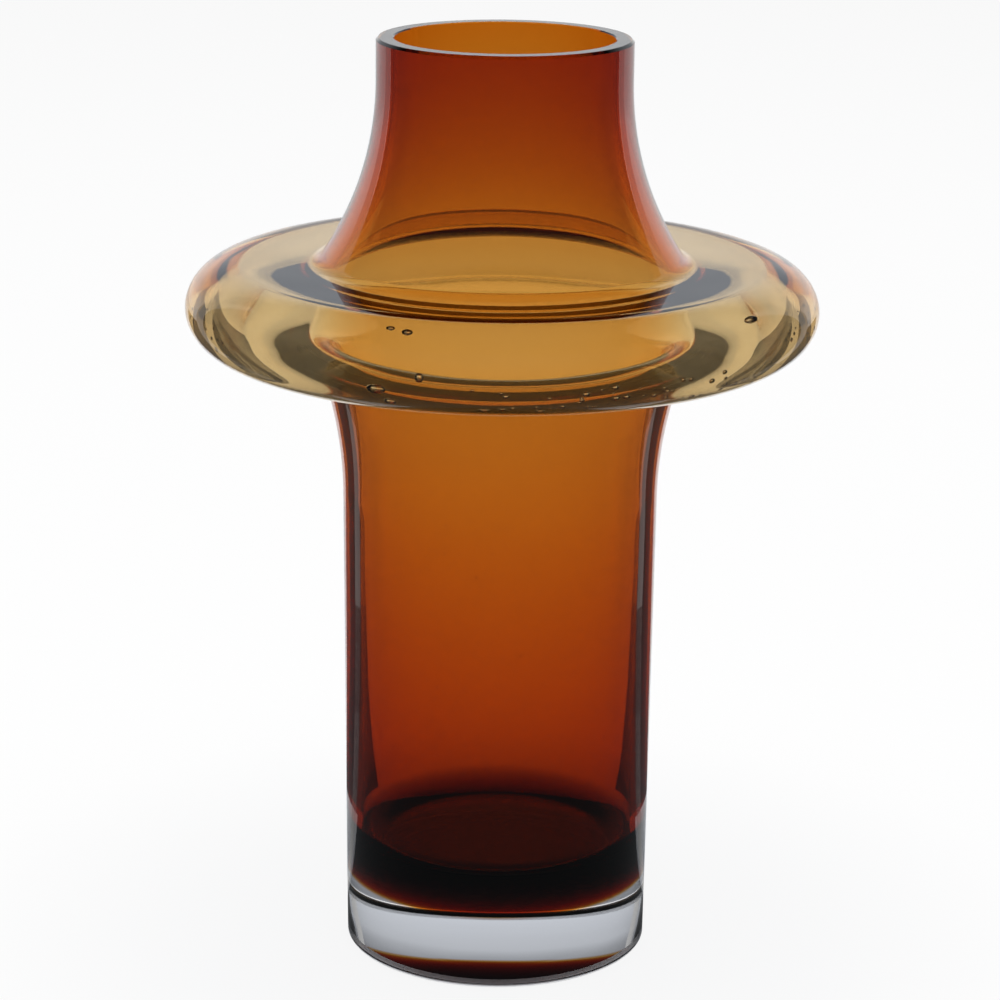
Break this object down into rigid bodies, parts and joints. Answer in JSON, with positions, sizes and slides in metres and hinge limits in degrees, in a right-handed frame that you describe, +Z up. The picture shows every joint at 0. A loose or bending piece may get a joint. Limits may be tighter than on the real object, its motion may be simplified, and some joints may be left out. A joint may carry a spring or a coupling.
{
  "type": "cased-glass vase",
  "caption": "Tall blown-glass vase: a cylindrical body on a heavy clear foot, a hollow disc collar at the shoulder and a flared neck with a round open mouth.",
  "frame": {"origin": "centre of the foot's underside, on the surface the vase stands on", "axes": "+Z up along the vase's axis, out of the mouth; it is a body of revolution, so +X and +Y are any two directions across it"},
  "size_m": [0.2084, 0.2084, 0.31],
  "materials": {
    "clear_glass": "polished, colourless",
    "amber_glass": "polished, transparent amber"
  },
  "bodies": {
    "root": {"clear_neck": "clear_glass", "clear_disc": "clear_glass", "clear_body": "clear_glass", "clear_foot": "clear_glass", "amber_neck": "amber_glass", "amber_disc_lining": "amber_glass", "amber_body": "amber_glass", "amber_base": "amber_glass"}
  },
  "joints": []
}
